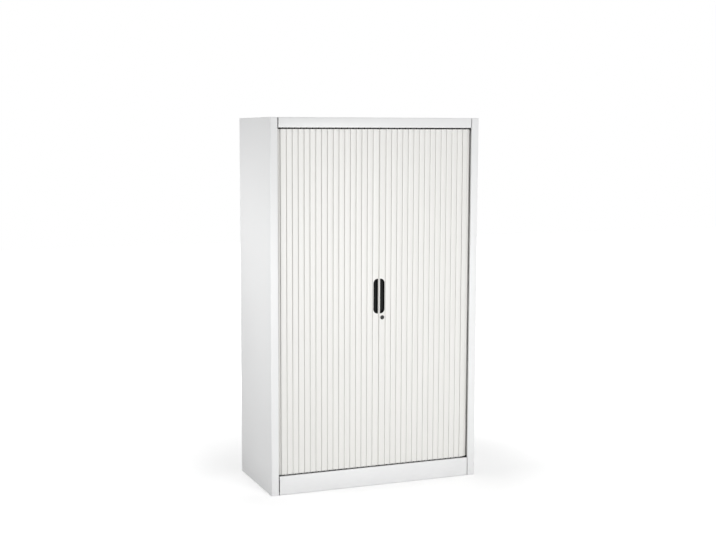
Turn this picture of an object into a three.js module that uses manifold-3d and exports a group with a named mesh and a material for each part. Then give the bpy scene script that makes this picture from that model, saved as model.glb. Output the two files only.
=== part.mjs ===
// A tambour door cabinet: a sheet steel carcass with three shelves, closed by two
// curtains of upright slats that run in curved tracks and turn into the side walls.
// Millimetres, +Z up, the front faces -Y, the origin is on the floor at the middle.
import * as THREE from "three";
import { mergeVertices } from "three/addons/utils/BufferGeometryUtils.js";
import Module from "manifold-3d";

const wasm = await Module();
wasm.setup();

// Overall size
const WIDTH = 1000;
const DEPTH = 450;
const HEIGHT = 1660;

// Sheet metal
const SHEET = 1.5;
const BEND_RADIUS = 2.5;
const FIT_GAP = 0.3;
const SEAM = 1.5;

// Front frame
const POST_WIDTH = 35;
const REAR_FLANGE = 30;
const HEADER_HEIGHT = 44.5;
const PLINTH_HEIGHT = 85;
const PLINTH_FOOT = 22;

// Curtains: a lead rail and a run of slats on each side, pushed together
// a little to the right of the middle
const SLATS_PER_DOOR = 17;
const LEAD_WIDTH = 31;
const JOINT_X = 15;
const TAIL_COVER = 11.7;
const SLAT_GAP = 0.5;
const SLAT_THICKNESS = 9;
const SLAT_FRONT_ROUND = 1.6;
const SLAT_REAR_TAPER = 2.5;
const SLAT_REAR_DEPTH = 3.5;
const CURTAIN_RECESS = 12;
const DOOR_TOP_GAP = 5;
const DOOR_BOTTOM_GAP = 4;

// Tracks and the pins that run in them
const PIN_RADIUS = 2.5;
const PIN_LENGTH = 14;
const PIN_SINK = 2;
const LEAD_PIN_INSET = 6;
const GROOVE_WIDTH = 6;
const GROOVE_DEPTH = 10.7;
const TRACK_WALL = 2.5;
const TRACK_HEIGHT = 13.7;
const TRACK_DROP = 2;
const CORNER_RADIUS = 50;
const CHANNEL_HALF = 17.5;
const TRACK_END_GAP = 20;
const GROOVE_END_WALL = 3;
const LEAD_STOP_GAP = 1;

// Inside of the cabinet
const SHELF_COUNT = 3;
const SHELF_THICKNESS = 25;
const SHELF_FRONT_SETBACK = 40;
const SHELF_BACK_GAP = 6;
const SHELF_SIDE_GAP = 2.5;
const SHELF_CORNER_CUT = 40;
const FLOOR_FRONT_GAP = 2;
const FLOOR_CORNER_CUT = 34;
const FLOOR_SIDE_GAP = 0.5;
const SHELF_RAIL_WIDTH = 60;
const SHELF_ARM_LEG = 22;
const SHELF_ARM_SEAT = 16;
const SHELF_ARM_END_GAP = 15;
const LID_SKIRT = 20;
const LID_SKIRT_INSET = 30;
const BACK_FOOT_GAP = 30;

// Grips, their places across measured from the joint
const GRIP_HEIGHT = 157;
const GRIP_WIDTH = 22;
const GRIP_CORNER = 20;
const GRIP_EDGE = 5;
const GRIP_DEPTH = 13;
const GRIP_WALL = 1.4;
const GRIP_CENTRE_Z = 865;

// Lock on the right lead rail, its place across measured from the joint
const LOCK_X = 16;
const LOCK_Z = 768;
const LOCK_FLANGE_RADIUS = 9.5;
const LOCK_FLANGE = 1.5;
const LOCK_BODY_RADIUS = 7.2;
const LOCK_BODY_LENGTH = 14;
const LOCK_PLUG_RADIUS = 5.2;
const LOCK_TAIL_RADIUS = 3.4;
const LOCK_TAIL_LENGTH = 4;
const KEY_SLOT_HEIGHT = 6.5;
const KEY_SLOT_WIDTH = 1.4;
const KEY_SLOT_DEPTH = 3;
const CAM_REACH = 26;
const CAM_WIDTH = 8;
const CAM_SHEET = 2;
const CAM_HOOK_WIDTH = 5;
const CAM_HOOK_DROP = 6;
const KEEP_WIDTH = 3;
const KEEP_PLAY = 1.5;
const KEEP_PAST_CAM = 1;
const STOP_WIDTH = 3;
const STOP_HEIGHT = 6;
const STOP_RISE = 8;

// Smoothness of arcs
const BEND_STEPS = 3;
const CORNER_STEPS = 12;
const ROUND_STEPS = 3;
const PIN_SIDES = 8;
const LOCK_SIDES = 24;
const OVERRUN = 1;

// Places worked out from the sizes above
const RIGHT = WIDTH / 2;
const FRONT = -DEPTH / 2;
const BACK = DEPTH / 2;
const LID_BOTTOM = HEIGHT - SHEET;
const WALL_TOP = LID_BOTTOM - FIT_GAP;
const OPENING_HALF = RIGHT - POST_WIDTH;
const HEADER_BOTTOM = HEIGHT - HEADER_HEIGHT;
const FRAME_HALF = OPENING_HALF - SEAM;
const DOOR_BOTTOM = PLINTH_HEIGHT + DOOR_BOTTOM_GAP;
const DOOR_TOP = HEADER_BOTTOM - DOOR_TOP_GAP;
const CURTAIN_Y = FRONT + CURTAIN_RECESS + SLAT_THICKNESS / 2;
const POST_RETURN = CURTAIN_RECESS - SEAM;
const CURTAIN_RUN = OPENING_HALF + JOINT_X - LEAD_WIDTH + TAIL_COVER;
const SLAT_PITCH = CURTAIN_RUN / SLATS_PER_DOOR;
const CHANNEL_X = RIGHT - SHEET - CHANNEL_HALF;
const BEND_START_X = CHANNEL_X - CORNER_RADIUS;
const TRACK_WIDTH = GROOVE_WIDTH + 2 * TRACK_WALL;
const TRACK_FRONT_Y = CURTAIN_Y - TRACK_WIDTH / 2;
const TRACK_BACK_Y = CURTAIN_Y + TRACK_WIDTH / 2;
const SEAT_WALL_Y = TRACK_FRONT_Y - FIT_GAP - BEND_RADIUS;
const LOWER_TRACK_TOP = PLINTH_HEIGHT - TRACK_DROP;
const LOWER_SEAT = LOWER_TRACK_TOP - TRACK_HEIGHT - FIT_GAP;
const UPPER_TRACK_BOTTOM = HEADER_BOTTOM + TRACK_DROP + SHEET / 2;
const UPPER_SEAT = UPPER_TRACK_BOTTOM + TRACK_HEIGHT + FIT_GAP;
const LINER_X = OPENING_HALF - SEAM;
const LINER_FRONT = CURTAIN_Y + CORNER_RADIUS;
const BACK_PANEL_FRONT = BACK - 2 * SHEET - FIT_GAP;
const BACK_PANEL_HALF = RIGHT - SHEET / 2 - BEND_RADIUS;
const INSIDE_HALF = LINER_X - SHEET;
const SHELF_HALF = INSIDE_HALF - SHELF_SIDE_GAP;
const SHELF_SPAN = UPPER_TRACK_BOTTOM - LOWER_TRACK_TOP - SHELF_COUNT * SHELF_THICKNESS;
const SHELF_CLEAR = SHELF_SPAN / (SHELF_COUNT + 1);
const SLAT_FRONT_Y = CURTAIN_Y - SLAT_THICKNESS / 2;
const SLAT_BACK_Y = CURTAIN_Y + SLAT_THICKNESS / 2;
const CAM_FRONT_Y = SLAT_FRONT_Y - FIT_GAP + LOCK_BODY_LENGTH + FIT_GAP;
const CAM_BACK_Y = CAM_FRONT_Y + CAM_SHEET;

// Finishes
const paint = { color: 0xe6e6e3, roughness: 0.55, metalness: 0.1 };
const slatFinish = { color: 0xe9e8e3, roughness: 0.5, metalness: 0.0 };
const trackPlastic = { color: 0x3a3c3d, roughness: 0.6, metalness: 0.0 };
const gripPlastic = { color: 0x202323, roughness: 0.45, metalness: 0.0 };
const lockMetal = { color: 0x6e6e6c, roughness: 0.35, metalness: 0.8 };
const zinc = { color: 0xa9abab, roughness: 0.4, metalness: 0.9 };

// Points, solids and extrusions

function at(x, y) {
  return new THREE.Vector2(x, y);
}

function solidOf(geometry) {
  const bare = geometry.clone();
  bare.deleteAttribute("normal");
  bare.deleteAttribute("uv");
  const merged = mergeVertices(bare);
  return new wasm.Manifold(
    new wasm.Mesh({
      numProp: 3,
      vertProperties: merged.attributes.position.array,
      triVerts: new Uint32Array(merged.index.array),
    }),
  );
}

function geometryOf(solid) {
  const mesh = solid.getMesh();
  const geometry = new THREE.BufferGeometry();
  const places = new Float32Array(mesh.vertProperties);
  geometry.setAttribute("position", new THREE.BufferAttribute(places, mesh.numProp));
  geometry.setIndex(new THREE.BufferAttribute(mesh.triVerts, 1));
  geometry.computeVertexNormals();
  return geometry;
}

function joined(...geometries) {
  const solids = geometries.map(solidOf);
  return geometryOf(solids.reduce((sum, next) => sum.add(next)));
}

function cut(geometry, ...tools) {
  const solids = tools.map(solidOf);
  return geometryOf(solids.reduce((rest, tool) => rest.subtract(tool), solidOf(geometry)));
}

const axisX = new THREE.Vector3(1, 0, 0);
const axisY = new THREE.Vector3(0, 1, 0);
const axisZ = new THREE.Vector3(0, 0, 1);
const shapeAcrossX = new THREE.Matrix4().makeBasis(axisY, axisZ, axisX);
const shapeAcrossY = new THREE.Matrix4().makeBasis(axisX, axisZ, axisY.clone().negate());

// A shape drawn in X and Y, from one height to another.
function extrudedUp(shape, from, to) {
  const geometry = new THREE.ExtrudeGeometry(shape, { depth: to - from, bevelEnabled: false });
  return geometry.translate(0, 0, from);
}

// A shape drawn in Y and Z, from one place to another along X.
function extrudedAcross(shape, from, to) {
  const geometry = new THREE.ExtrudeGeometry(shape, { depth: to - from, bevelEnabled: false });
  return geometry.applyMatrix4(shapeAcrossX).translate(from, 0, 0);
}

// A shape drawn in X and Z, from one place to another along Y.
function extrudedBack(shape, from, to) {
  const geometry = new THREE.ExtrudeGeometry(shape, { depth: to - from, bevelEnabled: false });
  return geometry.applyMatrix4(shapeAcrossY).translate(0, to, 0);
}

function block(low, high) {
  const size = high.clone().sub(low);
  const middle = high.clone().add(low).divideScalar(2);
  const geometry = new THREE.BoxGeometry(size.x, size.y, size.z);
  return geometry.translate(middle.x, middle.y, middle.z);
}

function corner(x, y, z) {
  return new THREE.Vector3(x, y, z);
}

// A strip of even thickness along a line of corners, each turned with the same radius.
function foldedStrip(corners, radius, thickness, steps) {
  const half = thickness / 2;
  const leftSide = [];
  const rightSide = [];
  corners.forEach((place, index) => {
    const before = corners[index - 1];
    const after = corners[index + 1];
    if (!before || !after) {
      const along = before ? place.clone().sub(before) : after.clone().sub(place);
      const side = at(-along.y, along.x).normalize().multiplyScalar(half);
      leftSide.push(place.clone().add(side));
      rightSide.push(place.clone().sub(side));
      return;
    }
    const incoming = place.clone().sub(before).normalize();
    const outgoing = after.clone().sub(place).normalize();
    const turn = Math.atan2(incoming.cross(outgoing), incoming.dot(outgoing));
    const way = Math.sign(turn);
    const reach = radius * Math.tan(Math.abs(turn) / 2);
    const inward = at(-incoming.y, incoming.x).multiplyScalar(way);
    const centre = place.clone().addScaledVector(incoming, -reach).addScaledVector(inward, radius);
    for (let step = 0; step <= steps; step++) {
      const spoke = inward.clone().negate().rotateAround(at(0, 0), (turn * step) / steps);
      leftSide.push(centre.clone().addScaledVector(spoke, radius - way * half));
      rightSide.push(centre.clone().addScaledVector(spoke, radius + way * half));
    }
  });
  return new THREE.Shape([...leftSide, ...rightSide.reverse()]);
}

function foldedSheet(corners) {
  return foldedStrip(corners, BEND_RADIUS, SHEET, BEND_STEPS);
}

// A solid turned about Y from a closed profile of radius and place along Y.
function turned(profile, sides) {
  return new THREE.LatheGeometry([...profile, profile[0].clone()], sides);
}

const cabinet = new THREE.Group();

function addPiece(name, geometry, finish) {
  const mesh = new THREE.Mesh(geometry, new THREE.MeshStandardMaterial(finish));
  mesh.name = name;
  cabinet.add(mesh);
  return mesh;
}

function addAtJoint(name, geometry, finish) {
  addPiece(name, geometry, finish).position.x = JOINT_X;
}

// side is -1 for the left and 1 for the right of the cabinet
const sides = [
  { name: "left", side: -1 },
  { name: "right", side: 1 },
];

// Side panel: outer skin, front post with its return, and a flange behind the back panel
function sidePanel(side) {
  const skin = side * (RIGHT - SHEET / 2);
  const postEdge = side * (OPENING_HALF + SHEET / 2);
  const shape = foldedSheet([
    at(postEdge, FRONT + POST_RETURN),
    at(postEdge, FRONT + SHEET / 2),
    at(skin, FRONT + SHEET / 2),
    at(skin, BACK - SHEET / 2),
    at(skin - side * REAR_FLANGE, BACK - SHEET / 2),
  ]);
  return extrudedUp(shape, 0, WALL_TOP);
}

// Liner: the inner wall of the channel that the curtain slides into, with a flange
// above and below that carries the side stretch of the tracks
function liner(side) {
  const wall = side * (LINER_X - SHEET / 2);
  const flangeEnd = side * (RIGHT - SHEET - FIT_GAP);
  const shape = foldedSheet([
    at(flangeEnd, LOWER_SEAT - SHEET / 2),
    at(wall, LOWER_SEAT - SHEET / 2),
    at(wall, UPPER_SEAT + SHEET / 2),
    at(flangeEnd, UPPER_SEAT + SHEET / 2),
  ]);
  return extrudedBack(shape, LINER_FRONT, BACK_PANEL_FRONT - FIT_GAP);
}

// Header and plinth: folded rails between the posts, each with a seat for its track
function headerRail() {
  const face = FRONT + SHEET / 2;
  const shape = foldedSheet([
    at(face, WALL_TOP),
    at(face, HEADER_BOTTOM + SHEET / 2),
    at(SEAT_WALL_Y, HEADER_BOTTOM + SHEET / 2),
    at(SEAT_WALL_Y, UPPER_SEAT + SHEET / 2),
    at(TRACK_BACK_Y, UPPER_SEAT + SHEET / 2),
  ]);
  return extrudedAcross(shape, -FRAME_HALF, FRAME_HALF);
}

function plinth() {
  const face = FRONT + SHEET / 2;
  const shape = foldedSheet([
    at(FRONT + PLINTH_FOOT, SHEET / 2),
    at(face, SHEET / 2),
    at(face, PLINTH_HEIGHT - SHEET / 2),
    at(SEAT_WALL_Y, PLINTH_HEIGHT - SHEET / 2),
    at(SEAT_WALL_Y, LOWER_SEAT - SHEET / 2),
    at(TRACK_BACK_Y, LOWER_SEAT - SHEET / 2),
  ]);
  return extrudedAcross(shape, -FRAME_HALF, FRAME_HALF);
}

// Lid: covers the walls, with a strip below each side that locates it between them
function topPanel() {
  const plate = block(corner(-RIGHT, FRONT, LID_BOTTOM), corner(RIGHT, BACK, HEIGHT));
  const skirtX = RIGHT - SHEET - FIT_GAP;
  const skirtFront = FRONT + LID_SKIRT_INSET;
  const skirtBack = BACK_PANEL_FRONT - FIT_GAP;
  const skirtBottom = LID_BOTTOM - LID_SKIRT;
  const strips = [-1, 1].map((side) => {
    const outer = side * skirtX;
    const inner = side * (skirtX - SHEET);
    const low = corner(Math.min(outer, inner), skirtFront, skirtBottom);
    return block(low, corner(Math.max(outer, inner), skirtBack - SHEET, HEIGHT - SHEET / 2));
  });
  return joined(plate, ...strips);
}

function backPanel() {
  const low = corner(-BACK_PANEL_HALF, BACK_PANEL_FRONT, BACK_FOOT_GAP);
  return block(low, corner(BACK_PANEL_HALF, BACK_PANEL_FRONT + SHEET, WALL_TOP));
}

// A plan outline whose front corners are cut off, clear of the curtain's bend
function cutCornerShape(half, front, back, cornerCut) {
  return new THREE.Shape([
    at(-half + cornerCut, front),
    at(half - cornerCut, front),
    at(half, front + cornerCut),
    at(half, back),
    at(-half, back),
    at(-half, front + cornerCut),
  ]);
}

// A pan: a plate with walls all round, its open side below or above
function pan(outline, plateAt, openEnd) {
  const { half, front, back, cornerCut } = outline;
  const outer = cutCornerShape(half, front, back, cornerCut);
  const inner = cutCornerShape(half - SHEET, front + SHEET, back - SHEET, cornerCut);
  const inside = plateAt + Math.sign(openEnd - plateAt) * SHEET;
  const past = openEnd + Math.sign(openEnd - plateAt) * OVERRUN;
  return cut(
    extrudedUp(outer, Math.min(plateAt, openEnd), Math.max(plateAt, openEnd)),
    extrudedUp(inner, Math.min(inside, past), Math.max(inside, past)),
  );
}

const floorOutline = {
  half: INSIDE_HALF - FLOOR_SIDE_GAP,
  front: TRACK_BACK_Y + FLOOR_FRONT_GAP,
  back: BACK_PANEL_FRONT - FIT_GAP,
  cornerCut: FLOOR_CORNER_CUT,
};

const shelfOutline = {
  half: SHELF_HALF,
  front: FRONT + SHELF_FRONT_SETBACK,
  back: BACK_PANEL_FRONT - SHELF_BACK_GAP,
  cornerCut: SHELF_CORNER_CUT,
};

function shelfTop(number) {
  return LOWER_TRACK_TOP + number * (SHELF_CLEAR + SHELF_THICKNESS);
}

// Shelf rail: an upright strip on the liner with an arm, an angle, under each shelf end
function shelfRail(side) {
  const outer = side * (INSIDE_HALF - FIT_GAP);
  const wall = outer - (side * SHEET) / 2;
  const armFront = LINER_FRONT + SHELF_ARM_END_GAP;
  const armBack = shelfOutline.back - SHELF_ARM_END_GAP;
  const middle = (armFront + armBack) / 2;
  const ends = [outer, outer - side * SHEET].sort((a, b) => a - b);
  const strip = block(
    corner(ends[0], middle - SHELF_RAIL_WIDTH / 2, LOWER_TRACK_TOP + FIT_GAP),
    corner(ends[1], middle + SHELF_RAIL_WIDTH / 2, UPPER_TRACK_BOTTOM - FIT_GAP),
  );
  const arms = [];
  for (let number = 1; number <= SHELF_COUNT; number++) {
    const seat = shelfTop(number) - SHELF_THICKNESS - FIT_GAP - SHEET / 2;
    const shape = foldedSheet([
      at(wall, seat - SHELF_ARM_LEG),
      at(wall, seat),
      at(wall - side * SHELF_ARM_SEAT, seat),
    ]);
    arms.push(extrudedBack(shape, armFront, armBack));
  }
  return joined(strip, ...arms);
}

// Track: one strip that runs along the front and bends back into both side walls,
// with a groove for the pins and a straight spur for the lead rail at each bend
function track(low, high, grooveFrom, grooveTo) {
  const end = BACK_PANEL_FRONT - TRACK_END_GAP;
  const route = (stop) => [
    at(-CHANNEL_X, stop),
    at(-CHANNEL_X, CURTAIN_Y),
    at(CHANNEL_X, CURTAIN_Y),
    at(CHANNEL_X, stop),
  ];
  const body = foldedStrip(route(end), CORNER_RADIUS, TRACK_WIDTH, CORNER_STEPS);
  const groove = foldedStrip(route(end - GROOVE_END_WALL), CORNER_RADIUS, GROOVE_WIDTH, CORNER_STEPS);
  const spurEnd = OPENING_HALF - LEAD_WIDTH + LEAD_PIN_INSET + PIN_RADIUS + LEAD_STOP_GAP;
  const spur = block(
    corner(-spurEnd, CURTAIN_Y - GROOVE_WIDTH / 2, grooveFrom),
    corner(spurEnd, CURTAIN_Y + GROOVE_WIDTH / 2, grooveTo),
  );
  const bridge = block(
    corner(-spurEnd - TRACK_WALL, TRACK_FRONT_Y, low),
    corner(spurEnd + TRACK_WALL, TRACK_BACK_Y, high),
  );
  return cut(
    joined(extrudedUp(body, low, high), bridge),
    extrudedUp(groove, grooveFrom, grooveTo),
    spur,
  );
}

// Slats and lead rails

// The plan section of a slat about its own middle: rounded in front, tapered behind
function slatSection(width) {
  const half = width / 2;
  const front = -SLAT_THICKNESS / 2;
  const back = SLAT_THICKNESS / 2;
  const shape = new THREE.Shape();
  shape.moveTo(half - SLAT_REAR_TAPER, back);
  shape.lineTo(SLAT_REAR_TAPER - half, back);
  shape.lineTo(-half, back - SLAT_REAR_DEPTH);
  shape.lineTo(-half, front + SLAT_FRONT_ROUND);
  const roundIn = half - SLAT_FRONT_ROUND;
  const roundY = front + SLAT_FRONT_ROUND;
  shape.absarc(-roundIn, roundY, SLAT_FRONT_ROUND, Math.PI, 1.5 * Math.PI);
  shape.absarc(roundIn, roundY, SLAT_FRONT_ROUND, 1.5 * Math.PI, 2 * Math.PI);
  shape.lineTo(half, back - SLAT_REAR_DEPTH);
  return shape;
}

function slatBar(width) {
  const settings = { depth: DOOR_TOP - DOOR_BOTTOM, bevelEnabled: false, curveSegments: ROUND_STEPS };
  return new THREE.ExtrudeGeometry(slatSection(width), settings).translate(0, 0, DOOR_BOTTOM);
}

function endPins(x) {
  return [DOOR_BOTTOM - PIN_LENGTH, DOOR_TOP - PIN_SINK].map((low) => {
    const length = PIN_LENGTH + PIN_SINK;
    const pin = new THREE.CylinderGeometry(PIN_RADIUS, PIN_RADIUS, length, PIN_SIDES);
    return pin.rotateX(Math.PI / 2).translate(x, 0, low + length / 2);
  });
}

const slatGeometry = joined(slatBar(SLAT_PITCH - SLAT_GAP), ...endPins(0));

// Where the curtain's middle line is, a distance along it from the centre of the front
function curtainPlace(along) {
  const past = along - BEND_START_X;
  if (past <= 0) return { x: along, y: CURTAIN_Y, turn: 0 };
  const turn = Math.min(past / CORNER_RADIUS, Math.PI / 2);
  const straight = Math.max(past - (CORNER_RADIUS * Math.PI) / 2, 0);
  return {
    x: BEND_START_X + CORNER_RADIUS * Math.sin(turn),
    y: CURTAIN_Y + CORNER_RADIUS * (1 - Math.cos(turn)) + straight,
    turn,
  };
}

function addSlats(name, side) {
  for (let number = 1; number <= SLATS_PER_DOOR; number++) {
    const place = curtainPlace(side * JOINT_X + LEAD_WIDTH + (number - 0.5) * SLAT_PITCH);
    const label = String(number).padStart(2, "0");
    const slat = addPiece(name + "_slat_" + label, slatGeometry, slatFinish);
    slat.position.set(side * place.x, place.y, 0);
    slat.rotation.z = side * place.turn;
  }
}

// The outline of a grip in X and Z: straight by the joint, with round outer corners
function gripShape(side, inset) {
  const near = GRIP_EDGE + inset;
  const far = GRIP_EDGE + GRIP_WIDTH - inset;
  const half = GRIP_HEIGHT / 2 - inset;
  const round = GRIP_CORNER - inset;
  const points = [at(near, -half)];
  for (const [centreZ, start] of [[round - half, -0.5], [half - round, 0]]) {
    for (let step = 0; step <= CORNER_STEPS / 2; step++) {
      const angle = Math.PI * (start + step / CORNER_STEPS);
      points.push(at(far - round + round * Math.cos(angle), centreZ + round * Math.sin(angle)));
    }
  }
  points.push(at(near, half));
  return new THREE.Shape(points.map((place) => at(side * place.x, GRIP_CENTRE_Z + place.y)));
}

function leadRail(side) {
  const middle = (side * LEAD_WIDTH) / 2;
  const pinX = side * LEAD_PIN_INSET - middle;
  const bar = joined(slatBar(LEAD_WIDTH - SLAT_GAP), ...endPins(pinX)).translate(middle, CURTAIN_Y, 0);
  const hole = extrudedBack(gripShape(side, -FIT_GAP), SLAT_FRONT_Y - OVERRUN, SLAT_BACK_Y + OVERRUN);
  return cut(bar, hole);
}

// A cup set in the lead rail, open to the front, for the fingers
function gripCup(side) {
  return cut(
    extrudedBack(gripShape(side, 0), SLAT_FRONT_Y, SLAT_FRONT_Y + GRIP_DEPTH),
    extrudedBack(
      gripShape(side, GRIP_WALL),
      SLAT_FRONT_Y - OVERRUN,
      SLAT_FRONT_Y + GRIP_DEPTH - GRIP_WALL,
    ),
  );
}

// Lock: barrel in the right lead rail, plug that turns in it, hooked cam on its tail

function lockHole() {
  const radius = LOCK_BODY_RADIUS + FIT_GAP;
  const hole = new THREE.CylinderGeometry(radius, radius, SLAT_THICKNESS + 2 * OVERRUN, LOCK_SIDES);
  return hole.translate(LOCK_X, CURTAIN_Y, LOCK_Z);
}

const barrelFront = SLAT_FRONT_Y - FIT_GAP - LOCK_FLANGE;
const barrelBack = barrelFront + LOCK_FLANGE + LOCK_BODY_LENGTH;

function lockBarrel() {
  const bore = LOCK_PLUG_RADIUS + FIT_GAP;
  const profile = [
    at(bore, barrelFront),
    at(LOCK_FLANGE_RADIUS - LOCK_FLANGE / 2, barrelFront),
    at(LOCK_FLANGE_RADIUS, barrelFront + LOCK_FLANGE / 2),
    at(LOCK_FLANGE_RADIUS, barrelFront + LOCK_FLANGE),
    at(LOCK_BODY_RADIUS, barrelFront + LOCK_FLANGE),
    at(LOCK_BODY_RADIUS, barrelBack),
    at(bore, barrelBack),
  ];
  return turned(profile, LOCK_SIDES).translate(LOCK_X, 0, LOCK_Z);
}

function lockPlug() {
  const profile = [
    at(0, barrelFront),
    at(LOCK_PLUG_RADIUS, barrelFront),
    at(LOCK_PLUG_RADIUS, barrelBack),
    at(LOCK_TAIL_RADIUS, barrelBack),
    at(LOCK_TAIL_RADIUS, barrelBack + LOCK_TAIL_LENGTH),
    at(0, barrelBack + LOCK_TAIL_LENGTH),
  ];
  const slot = block(
    corner(-KEY_SLOT_WIDTH / 2, barrelFront - OVERRUN, -KEY_SLOT_HEIGHT / 2),
    corner(KEY_SLOT_WIDTH / 2, barrelFront + KEY_SLOT_DEPTH, KEY_SLOT_HEIGHT / 2),
  );
  return cut(turned(profile, LOCK_SIDES), slot).translate(LOCK_X, 0, LOCK_Z);
}

// The cam stands upright when the lock is open, with its hook towards the left door
function lockCam() {
  const half = CAM_WIDTH / 2;
  const points = [
    at(-half, -half),
    at(half, -half),
    at(half, CAM_REACH),
    at(-half - CAM_HOOK_DROP, CAM_REACH),
    at(-half - CAM_HOOK_DROP, CAM_REACH - CAM_HOOK_WIDTH),
    at(-half, CAM_REACH - CAM_HOOK_WIDTH),
  ];
  const plate = extrudedBack(new THREE.Shape(points), CAM_FRONT_Y, CAM_BACK_Y);
  const radius = LOCK_TAIL_RADIUS + FIT_GAP;
  const hole = new THREE.CylinderGeometry(radius, radius, CAM_SHEET + 2 * OVERRUN, LOCK_SIDES);
  hole.translate(0, (CAM_FRONT_Y + CAM_BACK_Y) / 2, 0);
  return cut(plate, hole).translate(LOCK_X, 0, LOCK_Z);
}

// The keep on the left lead rail, which the cam's hook drops behind
function lockKeep() {
  const near = LOCK_X - CAM_REACH + CAM_HOOK_WIDTH + KEEP_PLAY;
  const top = LOCK_Z - CAM_WIDTH / 2 - FIT_GAP;
  return block(
    corner(near, SLAT_BACK_Y - OVERRUN, top - CAM_HOOK_DROP),
    corner(near + KEEP_WIDTH, CAM_BACK_Y + KEEP_PAST_CAM, top),
  );
}

// The stop on the right lead rail, which the cam rests against when the lock is open
function camStop() {
  const near = LOCK_X + CAM_WIDTH / 2 + FIT_GAP;
  const bottom = LOCK_Z + STOP_RISE;
  return block(
    corner(near, SLAT_BACK_Y - OVERRUN, bottom),
    corner(near + STOP_WIDTH, CAM_BACK_Y + KEEP_PAST_CAM, bottom + STOP_HEIGHT),
  );
}

// Assembly

for (const { name, side } of sides) {
  addPiece(name + "_side_panel", sidePanel(side), paint);
  addPiece(name + "_liner", liner(side), paint);
}
addPiece("back_panel", backPanel(), paint);
addPiece("top_panel", topPanel(), paint);
addPiece("header_rail", headerRail(), paint);
addPiece("plinth", plinth(), paint);
addPiece("bottom_panel", pan(floorOutline, LOWER_TRACK_TOP, 0), paint);
addPiece("ceiling_panel", pan(floorOutline, UPPER_TRACK_BOTTOM, WALL_TOP), paint);

const lowerGroove = LOWER_TRACK_TOP - GROOVE_DEPTH;
const lowerTrack = track(
  LOWER_TRACK_TOP - TRACK_HEIGHT,
  LOWER_TRACK_TOP,
  lowerGroove,
  LOWER_TRACK_TOP + OVERRUN,
);
addPiece("lower_track", lowerTrack, trackPlastic);
const upperGroove = UPPER_TRACK_BOTTOM + GROOVE_DEPTH;
const upperTrack = track(
  UPPER_TRACK_BOTTOM,
  UPPER_TRACK_BOTTOM + TRACK_HEIGHT,
  UPPER_TRACK_BOTTOM - OVERRUN,
  upperGroove,
);
addPiece("upper_track", upperTrack, trackPlastic);

for (let number = 1; number <= SHELF_COUNT; number++) {
  const top = shelfTop(number);
  addPiece("shelf_" + number, pan(shelfOutline, top, top - SHELF_THICKNESS), paint);
}
for (const { name, side } of sides) {
  addPiece(name + "_shelf_rail", shelfRail(side), zinc);
}

const railCuts = {
  left: (rail) => joined(rail, lockKeep()),
  right: (rail) => joined(cut(rail, lockHole()), camStop()),
};
for (const { name, side } of sides) {
  addAtJoint(name + "_lead_rail", railCuts[name](leadRail(side)), slatFinish);
  addAtJoint(name + "_grip", gripCup(side), gripPlastic);
  addSlats(name, side);
}
addAtJoint("lock_barrel", lockBarrel(), lockMetal);
addAtJoint("lock_plug", lockPlug(), lockMetal);
addAtJoint("lock_cam", lockCam(), zinc);

export default cabinet;
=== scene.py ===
"""Looks of a tambour door cabinet: folded steel carcass, two slatted curtains, grips, lock and shelves.

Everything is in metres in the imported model's frame: the front faces -Y, +Z is up, the floor is at Z = 0.
"""

import logging
import math
from collections.abc import Callable
from dataclasses import dataclass
from enum import Enum

import bmesh
import bpy
from mathutils import Matrix, Vector


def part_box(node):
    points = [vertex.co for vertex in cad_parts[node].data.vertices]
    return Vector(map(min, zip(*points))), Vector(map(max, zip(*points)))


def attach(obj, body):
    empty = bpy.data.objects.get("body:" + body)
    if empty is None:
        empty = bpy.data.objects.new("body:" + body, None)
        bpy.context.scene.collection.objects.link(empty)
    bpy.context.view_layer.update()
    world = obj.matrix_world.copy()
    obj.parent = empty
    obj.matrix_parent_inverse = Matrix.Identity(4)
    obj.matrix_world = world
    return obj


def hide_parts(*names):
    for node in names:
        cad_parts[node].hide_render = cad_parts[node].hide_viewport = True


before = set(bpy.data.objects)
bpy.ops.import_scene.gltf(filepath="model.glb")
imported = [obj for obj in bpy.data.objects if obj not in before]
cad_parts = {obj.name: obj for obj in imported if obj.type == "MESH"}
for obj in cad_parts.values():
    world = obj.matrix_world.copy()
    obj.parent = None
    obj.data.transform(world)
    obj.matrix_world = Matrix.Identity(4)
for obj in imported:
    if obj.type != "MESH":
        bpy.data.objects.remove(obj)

LOG = logging.getLogger("tambour_cabinet")
MM = 0.001
SHELVES = (1, 2, 3)
FIT_GAP = 0.3 * MM
SHARP = math.radians(50)
FACING = 0.9
ALONG_RATIO = 10
Pair = tuple[float, float]
Triple = tuple[float, float, float]
Piece = bpy.types.Object
Edge = bmesh.types.BMEdge
Element = Edge | bmesh.types.BMFace
Test = Callable[[Element], bool]
Tree = bpy.types.ShaderNodeTree
Node = bpy.types.Node
Socket = bpy.types.NodeSocket
Inputs = dict[str | int, object]
WHITE = (1.0, 1.0, 1.0, 1.0)


class Side(Enum):
    """The two halves of the cabinet, with the sign of X on each."""

    LEFT = -1
    RIGHT = 1

    @property
    def word(self) -> str:
        """The side's name as the nodes spell it."""
        return self.name.lower()

    def walls(self, low: Vector, high: Vector) -> Pair:
        """Give the X of a box's wall towards the cabinet's middle, and of its outer wall."""
        return (high.x, low.x) if self is Side.LEFT else (low.x, high.x)


class Slot(Enum):
    """The record's material slots."""

    PAINT = "cabinet_paint"
    SLATS = "door_slats"
    GRIP = "grip_plastic"
    TRACK = "track_plastic"
    LOCK = "lock_metal"
    ZINC = "zinc_plate"


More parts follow.
